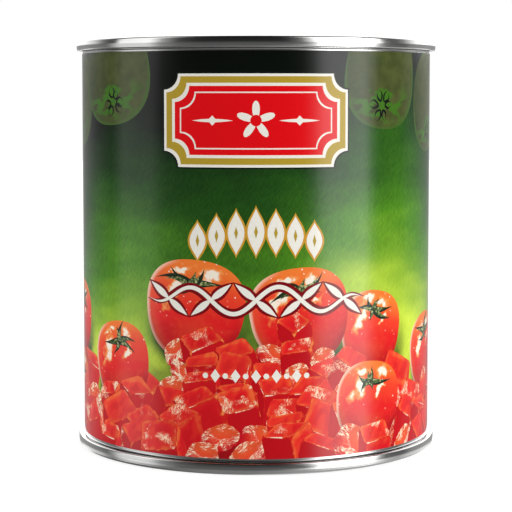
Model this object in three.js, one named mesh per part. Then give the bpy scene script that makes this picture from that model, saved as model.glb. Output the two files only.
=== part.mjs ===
// A shut tin of tomatoes: a three-piece tinplate can with a wrapped paper label.
// Millimetres, +Z up. The origin is the centre of the circle on which the can stands,
// and the front of the label faces -Y, so the label's overlap is at the back, on +Y.
import * as THREE from "three";

// Driving dimensions of the can
const CAN_HEIGHT = 115;
const WALL_RADIUS = 49.5; // outside of the tinplate wall
const WALL_GAUGE = 0.25;
const SEAM_RADIUS = 51.3; // outside of the rolled double seams
const SEAM_HEIGHT = 3.0;
const SEAM_WIDTH = 1.6;
const SEAM_CORNER = 0.65; // radius of the seam's rolled corners
const FLANGE_HEIGHT = 0.7; // the wall turns outwards over this height, next to each seam
const FLANGE_REACH = 0.4;
const FLANGE_CURVE = [0, 0.35, 1]; // share of the reach at equal steps of the height
const FIT_GAP = 0.1; // between pieces that meet

// Driving dimensions of each end, as depths below the top of its seam
const GROOVE_DEPTH = 4.4; // floor of the countersink groove
const GROOVE_RADIUS = 0.9; // of the groove's round floor
const GROOVE_CENTRE = 47.6;
const LEDGE_DEPTH = 2.9; // flat ledge inside the groove
const LEDGE_RADIUS = 45.1; // where the ledge turns down into the groove
const CENTRE_DEPTH = 3.6; // flat disc in the middle
const CENTRE_RADIUS = 30;
const STEP_WIDTH = 2.2; // from the middle disc up to the ledge
const BEAD_CIRCLES = [36.2, 41.4]; // radii of the two raised expansion beads
const BEAD_WIDTH = 3.4;
const BEAD_HEIGHT = 0.8;
const END_GAUGE = 0.6; // solid metal under the groove

// Driving dimensions of the label
const PAPER = 0.15;
const LABEL_BOTTOM = 4.0;
const LABEL_TOP = 111.2;
const OVERLAP_WIDTH = 9; // the glued overlap at the back, along the wall

// Rounding of the faceted surfaces
const SIDES = 64;
const ARC_STEPS = 3; // of a quarter turn
const GROOVE_STEPS = 4; // of the groove's half turn
const BEAD_STEPS = 4;

const PLUG_DEPTH = GROOVE_DEPTH + END_GAUGE;
const PLUG_RADIUS = WALL_RADIUS - WALL_GAUGE - FIT_GAP;
const SEAM_INNER = SEAM_RADIUS - SEAM_WIDTH;

const tinplate = new THREE.MeshStandardMaterial({ color: 0xc9cac8, roughness: 0.2, metalness: 1 });
const bareWall = new THREE.MeshStandardMaterial({ color: 0xbfc0be, roughness: 0.25, metalness: 1 });
const printedPaper = new THREE.MeshStandardMaterial({ color: 0x8c3a26, roughness: 0.35, metalness: 0 });

// Points on an arc of a profile, from one angle to another, in degrees.
function arc(centreX, centreY, radius, fromAngle, toAngle, steps = ARC_STEPS) {
  return Array.from({ length: steps + 1 }, (_, i) => {
    const angle = THREE.MathUtils.degToRad(fromAngle + ((toAngle - fromAngle) * i) / steps);
    return new THREE.Vector2(centreX + radius * Math.cos(angle), centreY + radius * Math.sin(angle));
  });
}

// A closed profile in (radius, height), turned about the Z axis.
function turned(profile) {
  return new THREE.LatheGeometry(profile, SIDES).rotateX(Math.PI / 2);
}

// One raised bead, seen as a rounded bump on the ledge, from its inner foot to its outer foot.
function beadProfile(circle) {
  return Array.from({ length: BEAD_STEPS + 1 }, (_, i) => {
    const across = i / BEAD_STEPS - 0.5;
    const rise = BEAD_HEIGHT * Math.cos(Math.PI * across) ** 2;
    return new THREE.Vector2(circle + BEAD_WIDTH * across, rise - LEDGE_DEPTH);
  });
}

// The profile of an end, from the middle of its outer face, over the seam, to the middle of its plug.
// Heights are measured up from the top of the seam, so they are all below zero.
function endProfile() {
  const seamBottom = -SEAM_HEIGHT;
  const grooveCentreHeight = GROOVE_RADIUS - GROOVE_DEPTH;
  return [
    new THREE.Vector2(0, -CENTRE_DEPTH),
    new THREE.Vector2(CENTRE_RADIUS, -CENTRE_DEPTH),
    new THREE.Vector2(CENTRE_RADIUS + STEP_WIDTH, -LEDGE_DEPTH),
    ...BEAD_CIRCLES.flatMap(beadProfile),
    new THREE.Vector2(LEDGE_RADIUS, -LEDGE_DEPTH),
    ...arc(GROOVE_CENTRE, grooveCentreHeight, GROOVE_RADIUS, 180, 360, GROOVE_STEPS),
    ...arc(SEAM_INNER + SEAM_CORNER, -SEAM_CORNER, SEAM_CORNER, 180, 90),
    ...arc(SEAM_RADIUS - SEAM_CORNER, -SEAM_CORNER, SEAM_CORNER, 90, 0),
    ...arc(SEAM_RADIUS - SEAM_CORNER, seamBottom + SEAM_CORNER, SEAM_CORNER, 0, -90),
    new THREE.Vector2(PLUG_RADIUS, seamBottom),
    new THREE.Vector2(PLUG_RADIUS, -PLUG_DEPTH),
    new THREE.Vector2(0, -PLUG_DEPTH),
  ];
}

// The wall's outside where it turns out under a seam. The side is 1 at the top and -1 at the bottom.
function flangeProfile(wallEnd, side) {
  const lastStep = FLANGE_CURVE.length - 1;
  const points = FLANGE_CURVE.map((share, i) => {
    const distance = FLANGE_HEIGHT * (1 - i / lastStep);
    return new THREE.Vector2(WALL_RADIUS + FLANGE_REACH * share, wallEnd - side * distance);
  });
  return side > 0 ? points : points.reverse();
}

// The filled can between its ends: the wall stands up round each end's plug as a thin collar.
function bodyProfile() {
  const collarInside = WALL_RADIUS - WALL_GAUGE;
  const fillBottom = PLUG_DEPTH + FIT_GAP;
  const fillTop = CAN_HEIGHT - fillBottom;
  const wallBottom = SEAM_HEIGHT + FIT_GAP;
  const wallTop = CAN_HEIGHT - wallBottom;
  return [
    new THREE.Vector2(0, fillBottom),
    new THREE.Vector2(collarInside, fillBottom),
    new THREE.Vector2(collarInside, wallBottom),
    ...flangeProfile(wallBottom, -1),
    ...flangeProfile(wallTop, 1),
    new THREE.Vector2(collarInside, wallTop),
    new THREE.Vector2(collarInside, fillTop),
    new THREE.Vector2(0, fillTop),
  ];
}

// The label's plan: one layer of paper round the wall, and two where its end is glued over its start.
// The upper layer ends in a cut edge on one side and slopes down off the lower layer on the other.
function labelPlan() {
  const inside = WALL_RADIUS + FIT_GAP;
  const facet = (2 * Math.PI) / SIDES;
  const overlapFacets = Math.round(OVERLAP_WIDTH / (inside * facet));
  const cutFacet = SIDES / 4 - Math.floor(overlapFacets / 2);
  const point = (radius, angle) => new THREE.Vector2(radius * Math.cos(angle), radius * Math.sin(angle));
  const outline = [];
  for (let i = 0; i < SIDES; i += 1) {
    const doubled = i > cutFacet && i < cutFacet + overlapFacets;
    if (i === cutFacet) outline.push(point(inside + PAPER, i * facet));
    outline.push(point(inside + (doubled || i === cutFacet ? 2 * PAPER : PAPER), i * facet));
  }
  const hole = Array.from({ length: SIDES }, (_, i) => point(inside, -i * facet));
  const plan = new THREE.Shape(outline);
  plan.holes.push(new THREE.Path(hole));
  return plan;
}

function makeEnd(name, height, turnedOver) {
  const end = new THREE.Mesh(turned(endProfile().reverse()), tinplate);
  end.name = name;
  end.position.z = height;
  if (turnedOver) end.rotation.x = Math.PI;
  return end;
}

function makeBody() {
  const body = new THREE.Mesh(turned(bodyProfile()), bareWall);
  body.name = "can_body";
  return body;
}

function makeLabel() {
  const sleeve = new THREE.ExtrudeGeometry(labelPlan(), {
    depth: LABEL_TOP - LABEL_BOTTOM,
    bevelEnabled: false,
  });
  const label = new THREE.Mesh(sleeve, printedPaper);
  label.name = "paper_label";
  label.position.z = LABEL_BOTTOM;
  return label;
}

const tin = new THREE.Group();
tin.add(makeBody(), makeEnd("top_end", CAN_HEIGHT, false), makeEnd("bottom_end", 0, true), makeLabel());

export default tin;
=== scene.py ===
# %% [markdown]
# # A tin of tomatoes
# This lesson dresses the plain model of a food tin. The real tin is a tube of tinplate with an end rolled
# onto each side of it, and a printed paper label is glued round the tube. The metal pieces are turned like
# lathe work. The label is a flat print that is laid out in millimetres and then wrapped round the tin.

# %% Load the frame
import math
import random

import bpy
import numpy as np
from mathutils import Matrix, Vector
from mathutils.bvhtree import BVHTree
from mathutils.geometry import delaunay_2d_cdt


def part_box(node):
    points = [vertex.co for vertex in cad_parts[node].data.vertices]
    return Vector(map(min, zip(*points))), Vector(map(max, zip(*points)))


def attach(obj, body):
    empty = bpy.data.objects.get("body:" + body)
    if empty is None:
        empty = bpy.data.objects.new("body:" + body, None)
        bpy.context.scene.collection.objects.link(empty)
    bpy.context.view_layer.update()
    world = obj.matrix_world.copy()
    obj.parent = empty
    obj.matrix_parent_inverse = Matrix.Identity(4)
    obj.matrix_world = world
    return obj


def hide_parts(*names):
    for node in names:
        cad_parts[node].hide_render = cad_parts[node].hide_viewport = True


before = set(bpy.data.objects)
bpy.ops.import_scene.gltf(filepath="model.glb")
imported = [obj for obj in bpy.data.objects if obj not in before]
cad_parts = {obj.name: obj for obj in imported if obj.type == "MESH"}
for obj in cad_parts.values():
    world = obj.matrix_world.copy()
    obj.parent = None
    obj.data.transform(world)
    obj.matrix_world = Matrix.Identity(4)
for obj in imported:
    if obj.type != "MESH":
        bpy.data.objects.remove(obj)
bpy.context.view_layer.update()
MM = 0.001
print("pieces of the plain model:", sorted(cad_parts))

# %% [markdown]
# ## Where the tin is seen from
# The photo was taken from just under the tin's rim, with a long lens, so that the upright edges stay nearly
# parallel. A small lens shift does part of the framing and a slight downward tilt does the rest. A shift
# alone would keep the edges exactly parallel, but it would push the tin out of the frame from other sides.

# %% Place the camera
CAMERA_DISTANCE = 496.85 * MM
CAMERA_HEIGHT = 100.75 * MM
CAMERA_TILT = math.radians(4.132)
CAMERA_LENS = 121.05
CAMERA_SHIFT = -0.08

bpy.ops.object.camera_add(
    location=(0, -CAMERA_DISTANCE, CAMERA_HEIGHT),
    rotation=(math.pi / 2 - CAMERA_TILT, 0, 0),
)
camera = bpy.context.object
camera.data.lens = CAMERA_LENS
camera.data.shift_y = CAMERA_SHIFT
camera.data.clip_start = 0.01
bpy.context.scene.camera = camera
bpy.context.scene.view_settings.view_transform = "Standard"
print("camera stands", round(CAMERA_DISTANCE / MM), "mm from the tin's axis")

# %% [markdown]
# ## Wiring helpers
# A material is a small circuit of nodes. Each helper below adds one node, fills its sockets with numbers or
# with wires from other nodes, and hands back its output, so that a finish can be read as a few lines of
# sums.

# %% Helpers for node circuits
def wire(tree, kind, sockets, **settings):
    """Adds a node of a kind, sets its choices, and fills its sockets with values or wires."""
    made = tree.nodes.new("ShaderNode" + kind)
    for name, value in settings.items():
        setattr(made, name, value)
    for socket, value in sockets.items():
        if isinstance(value, bpy.types.NodeSocket):
            tree.links.new(value, made.inputs[socket])
        else:
            made.inputs[socket].default_value = value
    return made


def sums(tree, operation, first, second=0.0):
    return wire(tree, "Math", {0: first, 1: second}, operation=operation).outputs[0]


def plus(tree, first, second):
    return sums(tree, "ADD", first, second)


def minus(tree, first, second):
    return sums(tree, "SUBTRACT", first, second)


def times(tree, first, second):
    return sums(tree, "MULTIPLY", first, second)


def split(tree, place):
    """The X, Y and Z of a place."""
    return wire(tree, "SeparateXYZ", {0: place}).outputs


def distance(tree, place):
    """How far a place is from the origin."""
    return wire(tree, "VectorMath", {0: place}, operation="LENGTH").outputs["Value"]


def ease(tree, value, start, end, low=0.0, high=1.0):
    """A smooth step of a value, from low at its start to high at its end."""
    sockets = {"Value": value, "From Min": start, "From Max": end, "To Min": low, "To Max": high}
    return wire(tree, "MapRange", sockets, interpolation_type="SMOOTHSTEP").outputs[0]


def mix(tree, share, first, second, how="MIX"):
    sockets = {0: share, 6: first, 7: second}
    return wire(tree, "Mix", sockets, data_type="RGBA", blend_type=how).outputs[2]


def ramp(tree, value, stops, how="EASE"):
    """A colour for each value, through stops of (place, colour)."""
    made = wire(tree, "ValToRGB", {0: value})
    made.color_ramp.interpolation = how
    places = made.color_ramp.elements
    while len(places) < len(stops):
        places.new(0.5)
    for place, (position, colour) in zip(places, stops):
        place.position = position
        place.color = colour
    return made.outputs[0]


def grey(level):
    return (level, level, level, 1.0)


# %% [markdown]
# ## Studio light
# Tinplate is a mirror, so its look is the room's look. The tin in the photo stands between two tall soft
# lights in a dark studio, the right one much the brighter, before a white backdrop. Lamps could stand
# there, but the rims mirror the room in narrow bands, and a painted room sets each band by itself. So the
# room is painted on the world as rings, one above the other: floor, skirting, low walls and walls. Each is
# a ramp that holds its brightness for each compass direction, where nought is the front and the right is
# positive. A ceiling behind, a faint haze that fades upwards and a fill light that only matt surfaces
# receive complete it. The camera itself sees plain white instead of the room.

# %% Measure out the room
BACKDROP = grey(1.0)
RAMP_TOP = 4.0
WALLS = [
    (-180, 2.6), (-150, 2.0), (-134, 1.2), (-122, 0.7), (-114, 0.2), (-106, 0.05), (-99, 0.05), (-95, 1.3),
    (-70, 1.45), (-61, 0.4), (-50, 0.04), (-36, 0.0), (18, 0.0), (29, 0.12), (36, 1.2), (44, 3.5), (82, 3.5),
    (86, 0.1), (98, 0.06), (107, 0.25), (114, 0.8), (124, 1.6), (140, 2.3), (180, 2.6),
]
LOW_WALLS = [
    (-180, 0.9), (-168, 0.35), (-158, 0.25), (-140, 0.25), (-116, 0.12), (-108, 0.05), (-102, 0.3),
    (-95, 0.8), (-72, 0.85), (-62, 0.2), (-50, 0.04), (-36, 0.0), (20, 0.0), (31, 0.06), (37, 0.6), (44, 3.0),
    (50, 3.8), (74, 3.8), (80, 1.2), (85, 0.15), (90, 0.02), (108, 0.02), (116, 0.2), (140, 0.3), (158, 0.25),
    (168, 0.35), (180, 0.9),
]
SKIRTING = [
    (-180, 1.6), (-140, 1.1), (-134, 0.9), (-120, 0.7), (-112, 0.35), (-105, 0.3), (-98, 0.8), (-88, 1.1),
    (-72, 1.0), (-61, 0.4), (-50, 0.12), (0, 0.12), (14, 0.16), (24, 0.35), (34, 0.9), (44, 2.6), (76, 2.6),
    (86, 1.3), (95, 0.6), (107, 0.5), (116, 0.8), (140, 1.1), (180, 1.6),
]
FLOOR_GLOW = [
    (-180, 0.7), (-160, 0.25), (-140, 0.12), (-70, 0.14), (-48, 0.24), (0, 0.28), (36, 0.42), (60, 0.5),
    (130, 0.5), (150, 0.8), (180, 0.85),
]
FILL = [(-180, 0.2), (-140, 1.1), (-80, 1.1), (-40, 0.4), (0, 0.25), (180, 0.2)]
HAZE = [(-0.1, 0.12), (-0.03, 0.09), (0.1, 0.04), (0.3, 0.015), (1.0, 0.01)]
CEILING = 0.22
WALL_FOOT = (0.02, 0.043)
WALL_TOP = (0.95, 0.6)
SKIRTING_TOP = (-0.27, -0.21)
FLOOR_EDGE = (-0.44, -0.34)
CEILING_RISE = (0.55, 0.9)
CEILING_BACK = (-0.2, 0.3)
print("the room's rings have", [len(ring) for ring in (FLOOR_GLOW, SKIRTING, LOW_WALLS, WALLS)], "stops")

# %% Paint the room
def around(tree, share, levels):
    """The brightness for each compass direction. The ramp holds it below one, and it is scaled up after."""
    stops = [((degrees + 180) / 360, grey(level / RAMP_TOP)) for degrees, level in levels]
    return mix(tree, 1.0, ramp(tree, share, stops, "LINEAR"), grey(RAMP_TOP), "MULTIPLY")


def painted_room(tree, share, parts):
    """The room's brightness in a direction, from its share of the compass and its three parts."""
    height = plus(tree, times(tree, parts["Z"], 0.5), 0.5)
    haze = ramp(tree, height, [((z + 1) / 2, grey(level)) for z, level in HAZE], "LINEAR")
    low_walls = around(tree, share, LOW_WALLS)
    walls = mix(tree, ease(tree, parts["Z"], *WALL_FOOT), low_walls, around(tree, share, WALLS))
    lights = mix(tree, ease(tree, parts["Z"], *WALL_TOP), grey(0.0), walls)
    room = mix(tree, 1.0, lights, haze, "ADD")
    behind = times(tree, ease(tree, parts["Z"], *CEILING_RISE), ease(tree, parts["Y"], *CEILING_BACK))
    room = mix(tree, behind, room, grey(CEILING))
    for levels, top in ((SKIRTING, SKIRTING_TOP), (FLOOR_GLOW, FLOOR_EDGE)):
        room = mix(tree, ease(tree, parts["Z"], *top), around(tree, share, levels), room)
    return room


def paint_room():
    world = bpy.data.worlds.new("studio")
    bpy.context.scene.world = world
    world.use_nodes = True
    tree = world.node_tree
    tree.nodes.clear()
    parts = split(tree, wire(tree, "TexCoord", {}).outputs["Generated"])
    bearing = sums(tree, "ARCTAN2", parts["X"], times(tree, parts["Y"], -1.0))
    share = plus(tree, sums(tree, "DIVIDE", bearing, 2 * math.pi), 0.5)
    room = painted_room(tree, share, parts)
    filled = mix(tree, 1.0, room, around(tree, share, FILL), "ADD")
    rays = wire(tree, "LightPath", {}).outputs
    seen = mix(tree, rays["Is Diffuse Ray"], room, filled)
    lit = wire(tree, "Background", {"Color": seen, "Strength": 1.0}).outputs[0]
    backdrop = wire(tree, "Background", {"Color": BACKDROP, "Strength": 1.0}).outputs[0]
    shown = wire(tree, "MixShader", {0: rays["Is Camera Ray"], 1: lit, 2: backdrop}).outputs[0]
    wire(tree, "OutputWorld", {"Surface": shown})
    print("the room has", len(tree.nodes), "nodes")


paint_room()

# %% [markdown]
# ## The floor
# The tin in the photo stands on nothing but white. Here it gets a plain pale floor that runs on behind it.
# The floor glows, so that it is as white as the backdrop, and only a faint shadow is left where the tin
# stands. The mirror of the tinplate already finds a floor in the room's lowest ring, so this one is seen by
# the camera alone.

# %% Lay the floor
FLOOR_RADIUS = 2.0
FLOOR_DROP = 0.05 * MM
FLOOR_GREY = 0.5
FLOOR_SHINE = 0.66


def lay_floor():
    bpy.ops.object.select_all(action="DESELECT")
    bpy.ops.mesh.primitive_circle_add(vertices=96, radius=FLOOR_RADIUS, fill_type="NGON")
    floor = bpy.context.object
    floor.name = "pale_floor"
    bpy.ops.object.mode_set(mode="EDIT")
    bpy.ops.transform.translate(value=(0, 0, -FLOOR_DROP))
    bpy.ops.object.mode_set(mode="OBJECT")
    finish = bpy.data.materials.new("pale_floor")
    finish.use_nodes = True
    shader = finish.node_tree.nodes["Principled BSDF"]
    shader.inputs["Base Color"].default_value = grey(FLOOR_GREY)
    shader.inputs["Roughness"].default_value = 1.0
    shader.inputs["Specular IOR Level"].default_value = 0.0
    shader.inputs["Emission Color"].default_value = BACKDROP
    shader.inputs["Emission Strength"].default_value = FLOOR_SHINE
    finish.cycles.emission_sampling = "NONE"
    floor.data.materials.append(finish)
    for rays in ("glossy", "diffuse", "shadow", "transmission"):
        setattr(floor, "visible_" + rays, False)
    print("the floor is", 2 * FLOOR_RADIUS, "m across")


lay_floor()

# %% [markdown]
# ## Turning the metal pieces
# An end is pressed from a flat sheet and the wall is a rolled tube, so both are round about the tin's axis.
# They could be stacked from cylinders, but the rolled seam and the beads have soft curves. So each piece is
# turned: its profile is drawn as a chain of points from the axis outwards, and the chain is spun once round
# the axis.

# %% Turn a profile
TURN_STEPS = 288


def arc(centre_x, centre_z, radius, from_degrees, to_degrees, steps=10):
    angles = np.radians(np.linspace(from_degrees, to_degrees, steps + 1))
    return [(centre_x + radius * math.cos(a), centre_z + radius * math.sin(a)) for a in angles]


def turn(name, profile):
    """A closed piece, spun from a profile of (radius, height) in millimetres."""
    bpy.ops.object.select_all(action="DESELECT")
    bpy.ops.mesh.primitive_plane_add(size=MM, location=(0, 0, 0))
    piece = bpy.context.object
    piece.name = name
    bpy.ops.object.mode_set(mode="EDIT")
    bpy.ops.mesh.select_all(action="SELECT")
    bpy.ops.mesh.merge(type="CENTER")
    points = [Vector((radius, 0, height)) * MM for radius, height in profile]
    bpy.ops.transform.translate(value=points[0])
    for here, there in zip(points, points[1:]):
        bpy.ops.mesh.extrude_vertices_move(TRANSFORM_OT_translate={"value": there - here})
    bpy.ops.mesh.select_all(action="SELECT")
    bpy.ops.mesh.spin(steps=TURN_STEPS, angle=2 * math.pi, center=(0, 0, 0), axis=(0, 0, 1))
    bpy.ops.mesh.select_all(action="SELECT")
    bpy.ops.mesh.remove_doubles(threshold=0.002 * MM)
    bpy.ops.mesh.normals_make_consistent(inside=False)
    bpy.ops.object.mode_set(mode="OBJECT")
    bpy.ops.object.shade_smooth_by_angle(angle=math.radians(40))
    print(name, "has", len(piece.data.polygons), "faces")
    return piece


# %% [markdown]
# ## Tinplate
# Tinplate is steel with a thin bright coat of tin. Rolling leaves fine lines in it that run round the tin.
# The lines are noise that changes fast across the sheet and slowly round the axis. They roughen the mirror
# a little and tilt it by a hair, which draws out each reflection along the rim.

# %% Mix the tinplate
LINES_OUTWARDS = 9000.0
LINES_UPWARDS = 7000.0
LINES_ROUND = 1.6
PATCHES = 60.0
LINE_DEPTH = 0.02 * MM
TARNISH = 0.86


def rolling_lines(tree, place):
    """Noise that changes fast across the rolling lines and slowly along them."""
    parts = split(tree, place)
    flat = wire(tree, "CombineXYZ", {"X": parts["X"], "Y": parts["Y"]}).outputs[0]
    compass = wire(tree, "VectorMath", {0: flat}, operation="NORMALIZE").outputs["Vector"]
    bearing = split(tree, compass)
    outwards = times(tree, distance(tree, flat), LINES_OUTWARDS)
    lined = wire(tree, "CombineXYZ", {
        "X": times(tree, bearing["X"], LINES_ROUND),
        "Y": times(tree, bearing["Y"], LINES_ROUND),
        "Z": plus(tree, outwards, times(tree, parts["Z"], LINES_UPWARDS)),
    }).outputs[0]
    sockets = {"Vector": lined, "Scale": 1.0, "Detail": 3.0, "Roughness": 0.6}
    return wire(tree, "TexNoise", sockets).outputs[0]


def tinplate_finish(name, colour, roughness):
    finish = bpy.data.materials.new(name)
    finish.use_nodes = True
    tree = finish.node_tree
    shader = tree.nodes["Principled BSDF"]
    place = wire(tree, "TexCoord", {}).outputs["Object"]
    lines = rolling_lines(tree, place)
    patches = wire(tree, "TexNoise", {"Vector": place, "Scale": PATCHES, "Detail": 3.0}).outputs[0]
    wear = plus(tree, times(tree, lines, 0.6), times(tree, patches, 0.4))
    rough = ease(tree, wear, 0.3, 0.7, roughness * 0.75, roughness * 1.4)
    tree.links.new(rough, shader.inputs["Roughness"])
    shade = tuple(part * TARNISH for part in colour[:3]) + (1.0,)
    tree.links.new(mix(tree, ease(tree, wear, 0.35, 0.65), colour, shade), shader.inputs["Base Color"])
    shader.inputs["Metallic"].default_value = 1.0
    bump = wire(tree, "Bump", {"Strength": 0.12, "Distance": LINE_DEPTH, "Height": lines}).outputs[0]
    tree.links.new(bump, shader.inputs["Normal"])
    print(name, "has", len(tree.nodes), "nodes")
    return finish


end_tinplate = tinplate_finish("end_tinplate", (0.72, 0.72, 0.71, 1.0), 0.13)
wall_tinplate = tinplate_finish("wall_tinplate", (0.62, 0.62, 0.61, 1.0), 0.17)

# %% [markdown]
# ## The ends
# Each end is one pressed disc. From the middle it steps up to a ledge with two raised rings, which let the
# end flex when the tin is heated. Then it dips into a round groove and rises as a wall, and its edge is
# rolled with the edge of the tube into a double seam. The seam is full at its top, nearly flat at its side
# and tucked in below.

# %% Turn the ends
TIN_HEIGHT = 115.0
WALL_RADIUS = 49.5
SEAM_RADIUS = 51.3
SEAM_HEIGHT = 3.0
SEAM_INNER = 49.7
CROWN_RADIUS = 0.75
SEAM_FOOT_RADIUS = 0.38
SEAM_BULGE = 0.09
GROOVE_CENTRE = 47.6
GROOVE_RADIUS = 0.9
GROOVE_DEPTH = 4.4
LEDGE_DEPTH = 2.9
LEDGE_RADIUS = 45.1
BEND_RADIUS = 0.8
CENTRE_DEPTH = 3.6
CENTRE_RADIUS = 30.0
STEP_WIDTH = 2.2
BEAD_CIRCLES = (36.2, 41.4)
BEAD_WIDTH = 3.4
BEAD_HEIGHT = 0.8
PLUG_RADIUS = 49.15
PLUG_DEPTH = 5.0


def soft_rise(start, end, from_height, to_height, steps=12):
    """A smooth S-shaped slope between two radii."""
    profile = []
    for s in np.linspace(0, 1, steps + 1):
        climbed = 0.5 - 0.5 * math.cos(math.pi * s)
        profile.append((start + (end - start) * s, from_height + (to_height - from_height) * climbed))
    return profile


def bead(circle, steps=16):
    places = np.linspace(-0.5, 0.5, steps + 1)
    return [(circle + BEAD_WIDTH * s, BEAD_HEIGHT * math.cos(math.pi * s) ** 2 - LEDGE_DEPTH) for s in places]


def seam_side(steps=8):
    """The side of the seam, from its crown down to its foot, with a slight bulge."""
    top = -CROWN_RADIUS
    bottom = SEAM_FOOT_RADIUS - SEAM_HEIGHT
    places = np.linspace(0, 1, steps + 1)[1:-1]
    bulge = [SEAM_BULGE * math.sin(math.pi * s) for s in places]
    return [(SEAM_RADIUS - SEAM_BULGE + b, top + (bottom - top) * s) for b, s in zip(bulge, places)]


def end_profile():
    groove_height = GROOVE_RADIUS - GROOVE_DEPTH
    side = SEAM_RADIUS - SEAM_BULGE
    profile = [(radius, -CENTRE_DEPTH) for radius in (0, 12, 24)]
    profile += soft_rise(CENTRE_RADIUS, CENTRE_RADIUS + STEP_WIDTH, -CENTRE_DEPTH, -LEDGE_DEPTH)
    for circle in BEAD_CIRCLES:
        profile += bead(circle)
    profile += arc(LEDGE_RADIUS, -LEDGE_DEPTH - BEND_RADIUS, BEND_RADIUS, 90, 10, 6)
    profile += arc(GROOVE_CENTRE, groove_height, GROOVE_RADIUS, 190, 350, 12)
    profile += arc(SEAM_INNER + CROWN_RADIUS, -CROWN_RADIUS, CROWN_RADIUS, 180, 90)
    profile += arc(side - CROWN_RADIUS, -CROWN_RADIUS, CROWN_RADIUS, 90, 0)
    profile += seam_side()
    profile += arc(side - SEAM_FOOT_RADIUS, SEAM_FOOT_RADIUS - SEAM_HEIGHT, SEAM_FOOT_RADIUS, 0, -90, 8)
    profile += [(PLUG_RADIUS, -SEAM_HEIGHT), (PLUG_RADIUS, -PLUG_DEPTH), (0, -PLUG_DEPTH)]
    return profile


def make_end(name, node, turned_over):
    if turned_over:
        profile = [(radius, -height) for radius, height in end_profile()]
    else:
        profile = [(radius, height + TIN_HEIGHT) for radius, height in end_profile()]
    end = turn(name, profile)
    end.data.materials.append(end_tinplate)
    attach(end, "root")
    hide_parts(node)
    return end


top_end = make_end("top_end_pressed", "top_end", False)
bottom_end = make_end("bottom_end_pressed", "bottom_end", True)

# %% [markdown]
# ## The wall
# Only two narrow bands of the wall show, between the label and the seams, where the tube turns out into the
# seam.

# %% Turn the wall
FLANGE_HEIGHT = 0.7
FLANGE_REACH = 0.4
FIT_GAP = 0.1
WALL_GAUGE = 0.25


def wall_profile():
    fill = PLUG_DEPTH + FIT_GAP
    inside = WALL_RADIUS - WALL_GAUGE
    end = SEAM_HEIGHT + FIT_GAP
    shares = np.linspace(0, 1, 13)
    flange = [(WALL_RADIUS + FLANGE_REACH * s**5, end + FLANGE_HEIGHT * (1 - s)) for s in shares]
    half = [(0, fill), (inside, fill), (inside, end)] + flange[::-1]
    return half + [(radius, TIN_HEIGHT - height) for radius, height in reversed(half)]


wall = turn("wall_rolled", wall_profile())
wall.data.materials.append(wall_tinplate)
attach(wall, "root")
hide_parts("can_body")

# %% [markdown]
# ## The print
# The label is one sheet of printed paper. Its picture is laid out flat, in millimetres, as a pile of
# shapes: each has an outline, an ink and its own little grid of directions, so that the ink knows where it
# is on the shape. Later shapes hide earlier ones. The pile is then cut into one layer of small triangles,
# each with the ink of its topmost shape, and the sheet is bent round the tin. Shapes on layers of their own
# would stand proud of the paper.

# %% Start the pile of shapes
SHEET_RADIUS = 49.75
CENTIMETRE = 10
LABEL_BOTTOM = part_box("paper_label")[0].z / MM
LABEL_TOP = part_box("paper_label")[1].z / MM
draw = random.Random(3)
pile = []


def lay(outline, ink, centre=(0, 0), across=(10, 0), up=(0, 10), tone=0.5, extra=0.0):
    """Puts a shape on the pile. The ink reads places on it in steps of across and up from its centre."""
    doubled_area = sum(a[0] * b[1] - b[0] * a[1] for a, b in zip(outline, outline[1:] + outline[:1]))
    if doubled_area < 0:
        outline = outline[::-1]
    pile.append({"outline": outline, "ink": ink, "frame": (centre, across, up), "tone": (tone, extra)})


def place_on(centre, across, up, s, t):
    return (centre[0] + s * across[0] + t * up[0], centre[1] + s * across[1] + t * up[1])


def lay_on(grid, outline, ink, tone, extra=0.0):
    """Puts a shape on the pile whose outline is drawn on a grid of centre, across and up."""
    lay([place_on(*grid, s, t) for s, t in outline], ink, *grid, tone, extra)


print("the label is", round(LABEL_TOP - LABEL_BOTTOM, 1), "mm high")

# %% [markdown]
# ## Whole tomatoes
# A tomato is a squarish round shape, a little wider at its shoulders. The same formula gives its outline
# here and the distance to its edge inside the ink. Each leaf round the stem is a dark curved blade with a
# lit strip along it. The leaves of a green tomato are only sketched, with two open strokes for each.

# %% Draw tomatoes
TOMATO_SQUARENESS = 2.35
TOMATO_TAPER = 0.1
TOMATO_POINTS = 72


def tomato_edge(angle):
    """The point of a tomato's outline in one direction, on a grid from -1 to 1."""
    cosine, sine = math.cos(angle), math.sin(angle)
    near, far = 0.5, 1.5
    for _ in range(30):
        reach = (near + far) / 2
        s = reach * cosine / (1 + TOMATO_TAPER * reach * sine)
        if abs(s) ** TOMATO_SQUARENESS + abs(reach * sine) ** TOMATO_SQUARENESS < 1:
            near = reach
        else:
            far = reach
    return reach * cosine, reach * sine


def blade(root, tip, bend, width, steps=7):
    """A pointed leaf from its root to its tip, bent sideways."""
    root, tip = Vector(root), Vector(tip)
    along = tip - root
    side = Vector((-along.y, along.x)).normalized()
    left, right = [], []
    for i in range(steps + 1):
        s = i / steps
        middle = root + along * s + side * bend * math.sin(math.pi * s)
        half = width * (1 - s) ** 0.7 * (0.55 + 0.45 * math.sin(math.pi * min(1, s + 0.25)))
        left.append(tuple(middle + side * half))
        right.append(tuple(middle - side * half))
    return left + right[:-1][::-1]


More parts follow.
